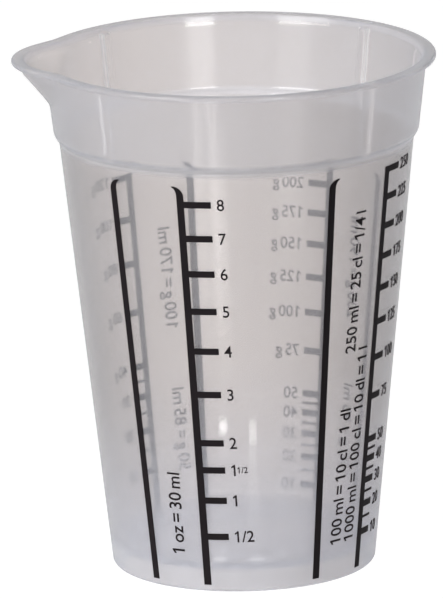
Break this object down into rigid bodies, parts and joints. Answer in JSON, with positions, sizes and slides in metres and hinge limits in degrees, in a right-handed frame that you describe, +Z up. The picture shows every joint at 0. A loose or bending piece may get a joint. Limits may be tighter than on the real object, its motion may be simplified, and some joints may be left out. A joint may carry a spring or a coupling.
{
  "type": "measuring cup",
  "caption": "Tapered translucent plastic measuring cup with a stepped collar, a flat flanged rim, a pouring spout and printed volume and weight scales on its wall.",
  "frame": {"origin": "on the table under the middle of the overall bounding box; the cup's own axis is 2.35 mm to the +X side, because the spout stands out on the -X side", "axes": "+Z up along the cup's axis, -X the way the spout pours, -Y the side that faces the camera in the picture"},
  "size_m": [0.0868, 0.082, 0.1066],
  "materials": {
    "milky_plastic": "translucent milky polypropylene with a soft gloss",
    "black_ink": "satin screen-printed ink"
  },
  "bodies": {
    "root": {"cup_body": "milky_plastic", "ounce_scale": "black_ink", "ounce_rule": "black_ink", "millilitre_scale": "black_ink", "millilitre_rule": "black_ink", "sugar_scale": "black_ink", "sugar_rule": "black_ink", "flour_scale": "black_ink", "flour_rule": "black_ink"}
  },
  "joints": []
}
